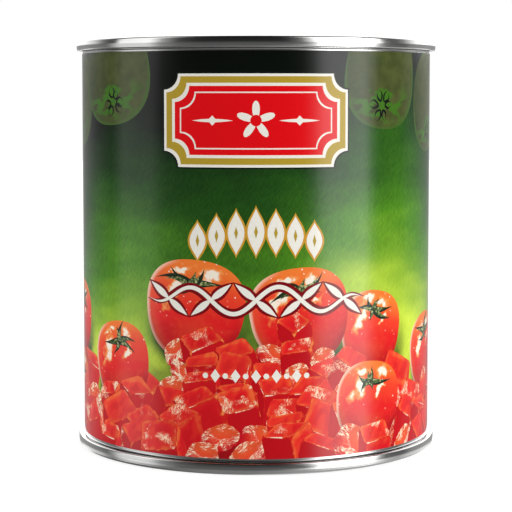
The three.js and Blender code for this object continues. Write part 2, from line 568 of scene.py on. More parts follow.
def lay_leaves(grid, stem, spread, ink, tone):
    """Leaves round a stem, on a tomato's own grid, and a stalk."""
    count = draw.choice((5, 6))
    first = draw.uniform(0, 360)
    for i in range(count):
        angle = math.radians(first + 360 * i / count + draw.uniform(-22, 22))
        length = spread * draw.uniform(0.6, 1.2)
        tip = (stem[0] + length * math.cos(angle), stem[1] + length * 0.6 * math.sin(angle) + 0.04)
        bend = draw.uniform(-0.11, 0.11)
        dark = blade(stem, tip, bend, spread * 0.14)
        lit_root = Vector(stem).lerp(Vector(tip), 0.12)
        lit_tip = Vector(stem).lerp(Vector(tip), draw.uniform(0.6, 0.9))
        lit = blade(lit_root, lit_tip, bend * 0.7 + 0.012, spread * 0.085)
        lay_on(grid, dark, ink, 0.12)
        lay_on(grid, lit, ink, tone * draw.uniform(0.8, 1.5))
    head = (stem[0] + draw.uniform(-0.16, 0.16), stem[1] + 0.26)
    lay_on(grid, blade(stem, head, draw.uniform(-0.04, 0.04), spread * 0.12), ink, tone)


def lay_sketched_leaves(grid, stem, spread, ink):
    """Leaves of two thin curved lines each, which meet at the tip."""
    count = draw.choice((6, 7))
    for i in range(count):
        angle = math.radians(360 * i / count + draw.uniform(-16, 16))
        length = spread * draw.uniform(0.7, 1.15)
        root = (stem[0] + 0.25 * length * math.cos(angle), stem[1] + 0.2 * length * math.sin(angle))
        tip = (stem[0] + length * math.cos(angle), stem[1] + 0.8 * length * math.sin(angle))
        for bend in (0.07, -0.07):
            lay_on(grid, blade(root, tip, bend + draw.uniform(-0.02, 0.02), 0.03), ink, 0.1)


def lay_tomato(u, z, width, height, lean, ripe=True):
    turn_by = math.radians(lean)
    across = (width / 2 * math.cos(turn_by), width / 2 * math.sin(turn_by))
    up = (-height / 2 * math.sin(turn_by), height / 2 * math.cos(turn_by))
    grid = ((u, z), across, up)
    outline = [tomato_edge(angle) for angle in np.linspace(0, 2 * math.pi, TOMATO_POINTS + 1)[:-1]]
    lay_on(grid, outline, "tomato_ink" if ripe else "green_tomato_ink", draw.random(), draw.random())
    aside = draw.uniform(-0.08, 0.08)
    if ripe:
        lay_leaves(grid, (aside, 0.52), 0.68, "leaf_ink", 0.8)
    else:
        lay_sketched_leaves(grid, (aside, 0.6), 0.36, "green_leaf_ink")


print("a tomato's outline has", TOMATO_POINTS, "points")

# %% [markdown]
# ## Green tomatoes
# Pale unripe tomatoes hang in the dark at the top of the label, like a watermark. They are the same shape
# upside down, in an ink that is only a little lighter than the ground.

# %% Hang the green tomatoes
GREEN_TOMATOES = [
    (-154, 101, 26, 28, 6), (-69, 99, 24, 27, -6), (-88, 106, 24, 27, 5), (-45, 107, 30, 31, 4),
    (64, 98, 24, 28, 6), (38, 106, 27, 31, -4), (84, 106, 26, 27, -7), (109, 100, 25, 29, 4),
    (137, 106, 27, 28, -5),
]
for u, z, width, height, lean in GREEN_TOMATOES:
    lay_tomato(u, z, width, height, 180 + lean, ripe=False)
print("green tomatoes:", len(GREEN_TOMATOES))

# %% [markdown]
# ## Red tomatoes round the heap
# The picture repeats three times round the tin, each time a little different. Two large ripe tomatoes and a
# smaller one lean on the back of each heap, one sits in front of it, and one fills the dip between two
# heaps.

# %% Set out the red tomatoes
HEAPS = (-104.2, 0.0, 104.2)
BACK_ROW = [(34, 36.5, 21, 22, -8), (-17, 43, 28, 27, -4), (12, 41.5, 27, 26, 6)]
FRONT_ROW = [(-42, 27, 23, 23, 7), (33, 17, 22, 23, -6)]


def shuffled(u, z, width, height, lean, middle):
    """One tomato of a row, for the heap at a middle. Those of the front heap stay in their places."""
    loose = 0 if middle == 0 else 1
    u += middle + loose * draw.uniform(-2.5, 2.5)
    return (u, z + loose * draw.uniform(-1.5, 1.5), width, height, lean + loose * draw.uniform(-9, 9))


BACK = [shuffled(*tomato, middle) for middle in HEAPS for tomato in BACK_ROW]
FRONT = [shuffled(*tomato, middle) for middle in HEAPS for tomato in FRONT_ROW]
for tomato in BACK:
    lay_tomato(*tomato)
print("red tomatoes:", len(BACK) + len(FRONT))

# %% [markdown]
# ## The heap of diced tomato
# Each dice is a real cube in the computer: its corners are shaken, it is turned at random and looked at
# from a little above. The faces that look this way become shapes of the print, over a slightly larger
# silhouette whose paler ink shows as a fine line along every edge. Rounded lumps of torn pulp lie between
# the dice, and light slivers glint on some of their upper edges. Rows are laid from the back of the heap to
# its front.

# %% Shape the dice and the pulp
DICE_LOOK_DOWN = 27
CORNER_CUT = 0.7
TEAR = 0.07
FACES = (
    ((1, 0, 0), (1, 3, 7, 5)), ((-1, 0, 0), (0, 4, 6, 2)), ((0, 1, 0), (2, 6, 7, 3)),
    ((0, -1, 0), (0, 1, 5, 4)), ((0, 0, 1), (4, 5, 7, 6)), ((0, 0, -1), (0, 2, 3, 1)),
)
UP_FACING = 0.3
TOWARDS_VIEWER = -0.12


def turned_about(axis, degrees):
    angle = math.radians(degrees)
    cosine, sine = math.cos(angle), math.sin(angle)
    i, j = [(1, 2), (0, 2), (0, 1)][axis]
    made = np.eye(3)
    made[i, i] = made[j, j] = cosine
    made[i, j], made[j, i] = -sine, sine
    return made


def turn_of(a, b, c):
    """Above nought where the way from a over b to c turns left."""
    return (b[0] - a[0]) * (c[1] - a[1]) - (b[1] - a[1]) * (c[0] - a[0])


def hull(points):
    """The convex outline round some points, anticlockwise."""
    points = sorted(set(points))

    def half(run):
        kept = []
        for p in run:
            while len(kept) > 1 and turn_of(kept[-2], kept[-1], p) <= 0:
                kept.pop()
            kept.append(p)
        return kept[:-1]

    return half(points) + half(points[::-1])


def blunted(outline, cut):
    """An outline with each corner cut off, at most a third along each side."""
    made = []
    count = len(outline)
    for i, corner in enumerate(outline):
        here = Vector(corner)
        for other in (outline[i - 1], outline[(i + 1) % count]):
            side = Vector(other) - here
            made.append(tuple(here + side * min(1 / 3, cut / max(side.length, 1e-6))))
    return made


def torn(outline, amount):
    """An outline with two more points on each side, all shaken by up to an amount."""
    made = []
    for here, there in zip(outline, outline[1:] + outline[:1]):
        for share in (0, 1 / 3, 2 / 3):
            point = Vector(here).lerp(Vector(there), share)
            made.append((point.x + draw.uniform(-amount, amount), point.y + draw.uniform(-amount, amount)))
    return made


def drawn_in(outline, gap):
    """An outline moved inwards by about a gap."""
    centre = Vector((sum(p[0] for p in outline), sum(p[1] for p in outline))) / len(outline)
    spokes = [Vector(p) - centre for p in outline]
    return [tuple(centre + spoke * max(0.4, 1 - gap / spoke.length)) for spoke in spokes]


def lay_glint(start, end, thickness):
    """A thin light sliver along a part of an edge."""
    start, end = Vector(start), Vector(end)
    first = draw.uniform(0, 0.35)
    last = first + draw.uniform(0.35, 0.65)
    outline = blade(start.lerp(end, first), start.lerp(end, last), draw.uniform(-0.1, 0.1), thickness / 2, 4)
    lay(outline, "glint_ink")


def shaken_cube():
    """The eight corners of a cube that reaches from -1 to 1, stretched and shaken."""
    corners = np.array([[sx, sy, sz] for sz in (-1, 1) for sy in (-1, 1) for sx in (-1, 1)], float)
    corners *= np.array([draw.uniform(0.85, 1.15) for _ in range(3)])
    return corners + np.array([[draw.uniform(-0.12, 0.12) for _ in range(3)] for _ in range(8)])


def lay_dice(u, z, size):
    cube = shaken_cube()
    turning = turned_about(0, DICE_LOOK_DOWN + draw.uniform(-12, 20))
    turning = turning @ turned_about(1, draw.uniform(-20, 20)) @ turned_about(2, draw.uniform(0, 90))
    flat = [(u + c[0], z + c[2]) for c in cube @ turning.T * size / 2]
    silhouette = torn(blunted(hull(flat), CORNER_CUT), TEAR)
    lay(silhouette, "dice_edge_ink", (u, z), (size, 0), (0, size), draw.random())
    for normal, indices in FACES:
        facing = turning @ np.array(normal)
        if facing[1] > TOWARDS_VIEWER:
            continue
        outline = [flat[i] for i in indices]
        light = 0.3 + 0.55 * facing[2] + 0.25 * facing[0] + draw.uniform(-0.15, 0.15)
        wet = draw.choice((0, 0, 0.7, 1)) if facing[2] > UP_FACING else draw.choice((0, 0, 0, 0, 0.6))
        across = tuple(Vector(outline[1]) - Vector(outline[0]))
        up = tuple(Vector(outline[3]) - Vector(outline[0]))
        face = torn(blunted(drawn_in(outline, 0.14), CORNER_CUT), TEAR)
        lay(face, "dice_ink", outline[0], across, up, min(1, max(0, light)), wet)
        if facing[2] > UP_FACING and draw.random() < 0.75:
            low = sorted(indices, key=lambda i: flat[i][1])[:3]
            lay_glint(flat[low[0]], flat[low[1]], draw.uniform(0.2, 0.5))
            if draw.random() < 0.4:
                lay_glint(flat[low[0]], flat[low[2]], draw.uniform(0.2, 0.4))


def lay_pulp(u, z, size):
    """A rounded lump of torn flesh, with streaks along it."""
    lean = math.radians(draw.uniform(-50, 60))
    across = Vector((math.cos(lean), math.sin(lean))) * size / 2
    up = Vector((-across.y, across.x)) * draw.uniform(0.6, 0.85)
    phase, wobble = draw.uniform(0, 6), draw.uniform(0.04, 0.1)
    outline = []
    for a in np.linspace(0, 2 * math.pi, 29)[:-1]:
        reach = 1 + wobble * math.sin(2 * a + phase) + 0.5 * wobble * math.sin(5 * a + 2 * phase)
        outline.append(place_on((u, z), across, up, reach * math.cos(a), reach * math.sin(a)))
    lay(torn(outline, 0.05), "pulp_ink", (u, z), across, up, draw.random(), draw.uniform(0.3, 1))


print("a dice has", len(FACES), "faces")

# %% Pile up the heap
HEAP_END = 165
HEAP_TOP = 27.0
HEAP_RISE = 9.0
HEAP_ROW_STEP = 5.2
DICE_SPACING = 9.2
PULP_SHARE = 0.24
FRAY = 2
FRAY_SHARE = 0.6
FRONT_SINK = 7
BACKING_DROP = 4
BACKING_STEP = 3.0


def heap_height(u):
    """The top of the heaps, which rise and dip round the tin."""
    return HEAP_TOP + HEAP_RISE * math.cos(2 * math.pi * u / HEAPS[2])


def lay_row(height):
    """One row of dice and pulp. Gives back how many there are."""
    count = 0
    near = 1.25 - 0.3 * height / HEAP_TOP
    u = -HEAP_END + draw.uniform(0, DICE_SPACING)
    while u < HEAP_END - 2:
        top = heap_height(u)
        if height < top - FRAY or height < top + FRAY and draw.random() < FRAY_SHARE:
            if draw.random() < PULP_SHARE:
                lay_pulp(u, height + draw.uniform(-1.5, 1.5), near * draw.uniform(8.5, 11.5))
            else:
                lay_dice(u, height + draw.uniform(-2.2, 2.2), near * draw.uniform(7.4, 10.2))
            count += 1
        u += near * DICE_SPACING * draw.uniform(0.75, 1.2)
    return count


backing = np.arange(HEAP_END, -HEAP_END - 1, -BACKING_STEP)
heap_edge = [(u, heap_height(u) - BACKING_DROP) for u in backing]
lay([(-HEAP_END, 0), (HEAP_END, 0)] + heap_edge, "heap_ink")
dice_count = 0
height = HEAP_TOP + HEAP_RISE
while height > 1:
    dice_count += lay_row(height)
    for tomato in [t for t in FRONT if height - HEAP_ROW_STEP < t[1] - FRONT_SINK <= height]:
        lay_tomato(*tomato)
    height -= HEAP_ROW_STEP
print("pieces in the heap:", dice_count)

# %% [markdown]
# ## The plaque
# A traditional plaque stands near the top of the label: a red plate with scooped corners, framed in cream
# and gold, with a flower between two tapered rules. Under it come a fan of petals, a vine and a row of
# beads. A border could be a line of its own, but here it is the same outline laid first, a little larger,
# in the ink of the border. A second set stands on the side of the tin that the photo doesn't show.

# %% Draw the ornament
def plaque(u, z, width, height, scoop, steps=8):
    """A rectangle whose corners are scooped out by quarter circles."""
    made = []
    for sx, sz, start in ((1, -1, 180), (1, 1, 270), (-1, 1, 0), (-1, -1, 90)):
        corner = (u + sx * width / 2, z + sz * height / 2)
        made += arc(*corner, scoop, start, start - 90, steps)
    return made


def tapered_rule(u, z, length, thickness, steps=10):
    """A rule that is thickest in its middle and runs out to points."""
    shares = np.linspace(-1, 1, 2 * steps + 1)
    upper = [(u + s * length / 2, z + thickness / 2 * (1 - s * s)) for s in shares]
    return [(p[0], 2 * z - p[1]) for p in upper[1:-1]] + upper[::-1]


def diamond(u, z, width, height):
    return [(u + width / 2, z), (u, z + height / 2), (u - width / 2, z), (u, z - height / 2)]


def flower(u, z, radius, petals=5, steps=60):
    angles = np.linspace(0, 2 * math.pi, steps + 1)[:-1] + math.pi / 2
    reach = [radius * (0.62 + 0.38 * math.cos(petals * (a - math.pi / 2))) for a in angles]
    return [(u + r * math.cos(a), z + r * math.sin(a)) for r, a in zip(reach, angles)]


def ring(u, z, radius, steps=28):
    angles = np.linspace(0, 2 * math.pi, steps + 1)[:-1]
    return [(u + radius * math.cos(a), z + radius * math.sin(a)) for a in angles]


def petal(u, z, width, height, steps=10):
    """An upright pointed oval."""
    angles = np.linspace(0, 2 * math.pi, 4 * steps + 1)[:-1]
    return [(u + width / 2 * math.sin(a) ** 3, z + height / 2 * math.cos(a)) for a in angles]


def vine(u, z, length, rise, thickness, turns, steps=16):
    """A wave of a pen stroke that runs out to points at both ends."""
    upper, lower = [], []
    for share in np.linspace(-1, 1, round(2 * steps * turns) + 1):
        fade = max(0.04, 1 - share**4)
        height = z + rise * fade * math.sin(math.pi * turns * share)
        slope = rise * math.pi * turns * math.cos(math.pi * turns * share) / (length / 2)
        half = thickness / 2 * fade * math.hypot(1, slope)
        upper.append((u + share * length / 2, height + half))
        lower.append((u + share * length / 2, height - half))
    return lower + upper[::-1]


def leaflet(u, z, angle, length, width, grow):
    """A pointed leaf that starts at a place and leans by an angle."""
    along = Vector((math.cos(angle), math.sin(angle)))
    root = Vector((u, z)) - along * grow
    tip = Vector((u, z)) + along * (length + grow)
    side = Vector((-along.y, along.x))
    shares = np.linspace(0, 1, 9)
    bulge = [(width / 2 + grow) * math.sin(math.pi * s**0.8) for s in shares]
    left = [tuple(root.lerp(tip, s) + side * b) for s, b in zip(shares, bulge)]
    right = [tuple(root.lerp(tip, s) - side * b) for s, b in zip(shares, bulge)]
    return left + right[1:-1][::-1]


print("a flower's outline has", len(flower(0, 0, 5.2)), "points")

# %% Lay the ornament
PLAQUES = ((0, 93), (-117, 91))
PLAQUE_WIDTH = 44
PLAQUE_HEIGHT = 18
PLAQUE_SCOOP = 4.2
PLAQUE_LAYERS = (
    (3.6, "shadow_ink"), (3.2, "cream_ink"), (2.5, "gold_ink"), (0.8, "cream_ink"), (0.0, "red_ink"),
    (-1.5, "cream_ink"), (-1.85, "red_ink"),
)
RULE_PLACE = 11.5
CREST_DROP = 29
PETAL_STEP = 5.2
PETAL_WIDTH = 4.4
PETAL_HEIGHT = 12.5
VINE_DROP = 47
VINE_LENGTH = 60.0
VINE_RISE = 3.6
VINE_THICKNESS = 1.15
VINE_WAVES = 2.5
VINE_LEAF = (7.0, 1.8)
BEADS_DROP = 67
BEAD_STEP = 2.7


def lay_crest(u, z):
    """A fan of cream petals with amber borders, and a gold diamond in each."""
    for i in range(-3, 4):
        place = (u + PETAL_STEP * i, z - 0.28 * i * i)
        tall = PETAL_HEIGHT - 0.9 * abs(i)
        for grow, ink in ((0.5, "amber_ink"), (0, "cream_ink")):
            lay(petal(*place, PETAL_WIDTH + 2.2 * grow, tall + 3.4 * grow), ink)
        lay(diamond(*place, 1.0, 3.4), "gold_ink")


def lay_vine(u, z):
    """A cream vine with two leaves at each place where it crosses its middle, over its wine-red border."""
    leaves = []
    for i in range(-2, 3):
        at = u + i * VINE_LENGTH / 2 / VINE_WAVES
        lean = math.radians(38 if i % 2 else -38)
        leaves += [(at, z, lean, *VINE_LEAF), (at, z, lean + math.pi, *VINE_LEAF)]
    for grow, ink in ((0.8, "wine_ink"), (0.0, "cream_ink")):
        lay(vine(u, z, VINE_LENGTH + 2 * grow, VINE_RISE, VINE_THICKNESS + 2 * grow, VINE_WAVES), ink)
        for leaf in leaves:
            lay(leaflet(*leaf, grow), ink)


def lay_beads(u, z):
    for i in range(-5, 6):
        place = (u + BEAD_STEP * i, z)
        lay(ring(*place, 0.75, 14) if i % 2 else diamond(*place, 2.6, 3.6), "cream_ink")


def lay_plaque(u, z):
    for grow, ink in PLAQUE_LAYERS:
        lay(plaque(u, z, PLAQUE_WIDTH + 2 * grow, PLAQUE_HEIGHT + 2 * grow, PLAQUE_SCOOP), ink)
    lay(flower(u, z, 5.2), "cream_ink")
    lay(ring(u, z, 1.5), "red_ink")
    for side in (-1, 1):
        lay(tapered_rule(u + side * RULE_PLACE, z, 11, 0.9), "cream_ink")
        lay(diamond(u + side * RULE_PLACE, z, 2.6, 2.6), "cream_ink")


for u, z in PLAQUES:
    lay_plaque(u, z)
    lay_crest(u, z - CREST_DROP)
    lay_vine(u, z - VINE_DROP)
    lay_beads(u, z - BEADS_DROP)
print("shapes on the pile:", len(pile))

# %% [markdown]
# ## Cutting the pile
# A Delaunay triangulation takes all outlines at once, cuts them where they cross and says for each triangle
# which shapes it lies in. The topmost shape owns it. Only the lines between different owners are real edges
# of the picture, so a second cut takes those alone, with a net of straight lines that keeps the triangles
# short enough to bend round the tin and gives the soft shadows enough points.

# %% Cut the sheet
NET_STEP = 2.0
CUT_EDGE = math.radians(-185.6)
HIDDEN_EDGE = math.radians(184.0)
CLEAR = 1e-5
sheet_left = CUT_EDGE * SHEET_RADIUS
sheet_right = HIDDEN_EDGE * SHEET_RADIUS


def net_lines(low, high, step):
    inner = [step * i for i in range(math.ceil(low / step), math.floor(high / step) + 1)]
    inner = [x for x in inner if x - low > step / 4 and high - x > step / 4]
    return [low, *inner, high]


def owned_triangles():
    """All triangles between the outlines on the pile, each with the number of its topmost shape."""
    points, loops = [], []
    for shape in pile:
        loops.append(list(range(len(points), len(points) + len(shape["outline"]))))
        points += [Vector(p) for p in shape["outline"]]
    cut = delaunay_2d_cdt(points, [], loops, 0, CLEAR)
    return cut[0], cut[2], [max(owners) if owners else -1 for owners in cut[5]]


def picture_edges(triangles, owners):
    """The sides where triangles of two different shapes meet."""
    seen = {}
    for triangle, owner in zip(triangles, owners):
        for i in range(3):
            side = tuple(sorted((triangle[i - 1], triangle[i])))
            seen.setdefault(side, set()).add(owner)
    return [side for side, both in seen.items() if len(both) > 1]


def net():
    """The points and the lines of a square net over the flat sheet."""
    columns = net_lines(sheet_left, sheet_right, NET_STEP)
    rows = net_lines(LABEL_BOTTOM, LABEL_TOP, NET_STEP)
    wide = len(columns)
    points = [Vector((u, z)) for z in rows for u in columns]
    lines = [(j * wide + i, j * wide + i + 1) for j in range(len(rows)) for i in range(wide - 1)]
    lines += [(j * wide + i, (j + 1) * wide + i) for j in range(len(rows) - 1) for i in range(wide)]
    return points, lines


def cut_sheet():
    """Points and triangles of the flat sheet, and the shape that each triangle belongs to."""
    corners, triangles, owners = owned_triangles()
    edges = picture_edges(triangles, owners)
    below = BVHTree.FromPolygons([p.to_3d() for p in corners], triangles)
    points, lines = net()
    used = sorted({i for side in edges for i in side})
    number = {old: len(points) + new for new, old in enumerate(used)}
    points += [corners[i] for i in used]
    lines += [(number[a], number[b]) for a, b in edges]
    cut = delaunay_2d_cdt(points, lines, [], 0, CLEAR)
    kept, shapes = [], []
    for triangle in cut[2]:
        middle = sum((cut[0][i] for i in triangle), Vector((0, 0))) / 3
        if sheet_left < middle.x < sheet_right and LABEL_BOTTOM < middle.y < LABEL_TOP:
            hit = below.ray_cast(middle.to_3d() + Vector((0, 0, 1)), Vector((0, 0, -1)))[2]
            kept.append(list(triangle))
            shapes.append(-1 if hit is None else owners[hit])
    on_sheet = sorted({i for triangle in kept for i in triangle})
    number = {old: new for new, old in enumerate(on_sheet)}
    kept = [[number[i] for i in triangle] for triangle in kept]
    return [tuple(cut[0][i]) for i in on_sheet], kept, shapes


sheet_points, sheet_triangles, sheet_owners = cut_sheet()
print("triangles in the sheet:", len(sheet_triangles), "between", len(sheet_points), "points")

# %% [markdown]
# ## Bending the sheet
# The flat sheet is bent round the tin: the way along it becomes an angle. Where one end climbs over the
# other, the radius grows by a thickness of paper and the glue. Each corner of each triangle also keeps
# three places for the inks: on its own shape, in the shape's tones, and on the flat sheet, in centimetres.

# %% Bend the sheet
PAPER = 0.12
GLUE = 0.01
LIFT_START = math.radians(-171.5)
LIFT_END = math.radians(-175.8)
INKS = [
    "ground_ink", "green_tomato_ink", "green_leaf_ink", "tomato_ink", "leaf_ink", "heap_ink", "dice_edge_ink",
    "dice_ink", "pulp_ink", "glint_ink", "shadow_ink", "cream_ink", "gold_ink", "amber_ink", "red_ink",
    "wine_ink", "bare_paper",
]
GROUND = {"ink": "ground_ink", "frame": ((0, 0), (10, 0), (0, 10)), "tone": (0.0, 0.0)}


def lift(u):
    """How far the sheet stands off the first layer of paper, at a place where its ends overlap."""
    share = min(1, max(0, (u / SHEET_RADIUS - LIFT_START) / (LIFT_END - LIFT_START)))
    return (PAPER + GLUE) * share * share * (3 - 2 * share)


def bent(u, z):
    bearing = u / SHEET_RADIUS
    radius = SHEET_RADIUS + lift(u)
    return (radius * math.sin(bearing) * MM, -radius * math.cos(bearing) * MM, z * MM)


def layer_places(name, mesh, places):
    """Adds a layer of places, one for each corner of each face."""
    made = mesh.uv_layers.new(name=name)
    made.data.foreach_set("uv", np.array(places, dtype=np.float32).ravel())


def make_label():
    mesh = bpy.data.meshes.new("label_printed")
    mesh.from_pydata([bent(u, z) for u, z in sheet_points], [], sheet_triangles)
    label = bpy.data.objects.new("label_printed", mesh)
    bpy.context.collection.objects.link(label)
    for ink in INKS:
        mesh.materials.append(bpy.data.materials.new(ink))
    motif, tone, sheet = [], [], []
    for face, triangle, owner in zip(mesh.polygons, sheet_triangles, sheet_owners):
        shape = pile[owner] if owner >= 0 else GROUND
        face.material_index = INKS.index(shape["ink"])
        centre, across, up = shape["frame"]
        wide = across[0] * up[1] - across[1] * up[0]
        for corner in triangle:
            u, z = sheet_points[corner]
            du, dz = u - centre[0], z - centre[1]
            motif.append(((du * up[1] - dz * up[0]) / wide, (dz * across[0] - du * across[1]) / wide))
            tone.append(shape["tone"])
            sheet.append((u / CENTIMETRE, z / CENTIMETRE))
    layer_places("motif", mesh, motif)
    layer_places("tone", mesh, tone)
    layer_places("sheet", mesh, sheet)
    return label


label = make_label()
print("the label's front has", len(label.data.polygons), "faces")

# %% [markdown]
# ## Soft shadows
# The tomatoes and the heap drop soft shadows on the ground. They could be shapes of the pile, but a shape
# has a hard edge. So each point of the sheet gets a number, the depth of the shadow there, which is worked
# out from its distance to the nearest tomato and to the top of the heap. The ground's ink darkens by it.

# %% Shade the ground
SHADOW_REACH = 4.5
HEAP_SHADOW = 2.0
HEAP_SHADE = 0.65
SHADOW_SHIFT = (1.2, -2.5)


def shade_at(u, z):
    """How deep the soft shadow of the tomatoes and the heap is at a place on the sheet."""
    deepest = HEAP_SHADE * math.exp(-max(0, z - heap_height(u)) / HEAP_SHADOW)
    for centre_u, centre_z, width, height, lean in BACK + FRONT:
        across = (u - centre_u - SHADOW_SHIFT[0]) / (width / 2)
        up = (z - centre_z - SHADOW_SHIFT[1]) / (height / 2)
        outside = (math.hypot(across, up) - 1) * width / 2
        lower = min(1, max(0, 0.55 - 0.8 * up))
        if outside < SHADOW_REACH:
            deepest = max(deepest, lower * (1 - max(0, outside) / SHADOW_REACH) ** 2)
    return deepest


depths = [shade_at(u, z) for u, z in sheet_points]
shade = label.data.attributes.new("shade", "FLOAT", "POINT")
shade.data.foreach_set("value", depths)
print("the deepest shadow is", round(max(depths), 2))

# %% [markdown]
# ## Paper
# Solidify adds the back of the sheet and its cut edges, which stay white paper. The normals of the front
# are set square to the tin, so that it mirrors like a smooth round sheet. A last map spreads the sheet over
# a square without overlaps, so that its inks can be baked into a picture: the front half in the upper row,
# the back half in the lower one, and the bare paper, all of one colour, in two thin strips.

# %% Give the sheet its back and its cut edges
bpy.ops.object.select_all(action="DESELECT")
bpy.context.view_layer.objects.active = label
label.select_set(True)
bpy.ops.object.modifier_add(type="SOLIDIFY")
thick = label.modifiers[0]
thick.thickness = PAPER * MM
thick.offset = -1.0
thick.material_offset = len(INKS)
thick.material_offset_rim = len(INKS)
bpy.ops.object.modifier_apply(modifier=thick.name)
print("with its back and edges the sheet has", len(label.data.polygons), "faces")

# %% Set the normals and spread the sheet for baking
BAKE_SPLIT = 80.0
BAKE_MARGIN = 0.004
SHEET_END = max(abs(sheet_left), abs(sheet_right))
FRONT_ROWS = {True: (0.5, 0.94), False: (0.02, 0.47)}
BARE_STRIPS = {True: (0.96, 0.97), False: (0.98, 0.99)}


def square_to_tin():
    """Sets the normals of the printed front square to the tin, and leaves the others as they are."""
    mesh = label.data
    bare = INKS.index("bare_paper")
    normals = []
    for face in mesh.polygons:
        for corner in face.vertices:
            if face.material_index == bare:
                normals.append(tuple(face.normal))
            else:
                x, y, z = mesh.vertices[corner].co
                normals.append((x, y, 0))
    mesh.shade_smooth()
    mesh.normals_split_custom_set([Vector(n).normalized() for n in normals])


def spread_for_baking():
    """A map that gives the front of the sheet two rows of a square, and the bare paper two thin strips."""
    mesh = label.data
    bare = INKS.index("bare_paper")
    baked = mesh.uv_layers.new(name="OFBake")
    flat = np.empty(len(mesh.loops) * 2, dtype=np.float32)
    mesh.uv_layers["sheet"].data.foreach_get("uv", flat)
    places = flat.reshape(-1, 2) * CENTIMETRE
    for face in mesh.polygons:
        loops = list(face.loop_indices)
        middle = sum(places[i][0] for i in loops) / len(loops)
        front = abs(middle) < BAKE_SPLIT
        low, high = FRONT_ROWS[front] if face.material_index != bare else BARE_STRIPS[front]
        for i in loops:
            u, z = places[i]
            if front:
                along = (u + BAKE_SPLIT) / (2 * BAKE_SPLIT)
            else:
                along = (abs(u) - BAKE_SPLIT) / (SHEET_END - BAKE_SPLIT) / 2 + (0.5 if middle > 0 else 0)
            up = (z - LABEL_BOTTOM) / (LABEL_TOP - LABEL_BOTTOM)
            baked.data[i].uv = (BAKE_MARGIN + (1 - 2 * BAKE_MARGIN) * along, low + (high - low) * up)
    print("bake map spread over", len(mesh.polygons), "faces")


square_to_tin()
spread_for_baking()
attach(label, "root")
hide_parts("paper_label")
print("the label has", len(label.data.polygons), "faces")

# %% [markdown]
# ## Inks
# Every ink is the same print under one gloss varnish, with a faint ripple, and only its colour circuit
# differs. The circuits read where they are on the flat sheet, so grain and strokes run on from shape to
# shape, or where they are on their own shape, so that a tomato's shine sits on its shoulder wherever the
# tomato is.

# %% Helpers for inks
GLOSS = 0.13
GLOSS_STRENGTH = 0.36
RIPPLE_SCALE = 130.0
RIPPLE_DEPTH = 0.05 * MM


def layer(tree, name):
    return wire(tree, "UVMap", {}, uv_map=name).outputs[0]


def printed(name, colour_of):
    """Fills an ink with a colour circuit, under the varnish that all inks share."""
    ink = bpy.data.materials[name]
    ink.use_nodes = True
    tree = ink.node_tree
    shader = tree.nodes["Principled BSDF"]
    colour = colour_of(tree)
    if isinstance(colour, bpy.types.NodeSocket):
        tree.links.new(colour, shader.inputs["Base Color"])
    else:
        shader.inputs["Base Color"].default_value = colour
    shader.inputs["Roughness"].default_value = GLOSS
    shader.inputs["Specular IOR Level"].default_value = GLOSS_STRENGTH
    place = wire(tree, "TexCoord", {}).outputs["Object"]
    ripple = wire(tree, "TexNoise", {"Vector": place, "Scale": RIPPLE_SCALE, "Detail": 2.0}).outputs[0]
    bump = wire(tree, "Bump", {"Strength": 0.05, "Distance": RIPPLE_DEPTH, "Height": ripple}).outputs[0]
    tree.links.new(bump, shader.inputs["Normal"])
    print(name, "has", len(tree.nodes), "nodes")


def noise(tree, place, scale, stretch=(1, 1), lean=0.0, detail=3.0):
    """Noise of a size, which may be drawn out along and across a leaning direction."""
    sockets = {"Vector": place, "Rotation": (0, 0, math.radians(lean)), "Scale": (stretch[0], stretch[1], 1)}
    turned = wire(tree, "Mapping", sockets, vector_type="TEXTURE").outputs[0]
    return wire(tree, "TexNoise", {"Vector": turned, "Scale": scale, "Detail": detail}).outputs[0]


def spot(tree, place, centre, radii, lean=0.0, soft=0.3):
    """A soft-edged oval, one inside and nought outside."""
    sockets = {
        "Vector": place, "Location": (centre[0], centre[1], 0), "Rotation": (0, 0, math.radians(lean)),
        "Scale": (radii[0], radii[1], 1),
    }
    inner = wire(tree, "Mapping", sockets, vector_type="TEXTURE").outputs[0]
    return ease(tree, distance(tree, inner), 1 + soft, 1 - soft)


def pushed_about(tree, place, sheet, scale, amount):
    """A place that is moved by a noise on the sheet, so that what is drawn there gets uneven edges."""
    push = wire(tree, "TexNoise", {"Vector": sheet, "Scale": scale, "Detail": 2.0}).outputs["Color"]
    centred = wire(tree, "VectorMath", {0: push, 1: (0.5, 0.5, 0.5)}, operation="SUBTRACT").outputs[0]
    shift = wire(tree, "VectorMath", {0: centred, "Scale": amount}, operation="SCALE").outputs[0]
    return wire(tree, "VectorMath", {0: place, 1: shift}, operation="ADD").outputs[0]


def roundness(tree, across, up):
    """How far out a place is on a tomato's shape, one at its outline."""
    powers = [sums(tree, "POWER", sums(tree, "ABSOLUTE", part), TOMATO_SQUARENESS) for part in (across, up)]
    return plus(tree, *powers)


print("varnish of roughness", GLOSS)

# %% [markdown]
# ## The ground
# The ground runs from nearly black at the top, through leaf green, to lime behind the heap. Its bands rise
# and fall a little round the tin, and brush strokes cross it on two slants. The soft shadows lie over it.

# %% Mix the ground ink
GROUND_TOP = 115
GROUND_WAVE = 7.8
GROUND_SLOPE = 15.63
GROUND_SHADOW = (0.006, 0.028, 0.010, 1)
GROUND_STOPS = [
    (30, (0.60, 0.76, 0.055)), (38, (0.42, 0.60, 0.045)), (47, (0.17, 0.35, 0.022)),
    (57, (0.070, 0.23, 0.010)), (67, (0.036, 0.135, 0.009)), (77, (0.015, 0.075, 0.007)),
    (86, (0.008, 0.038, 0.006)), (94, (0.003, 0.010, 0.004)), (102, (0.002, 0.004, 0.002)),
]


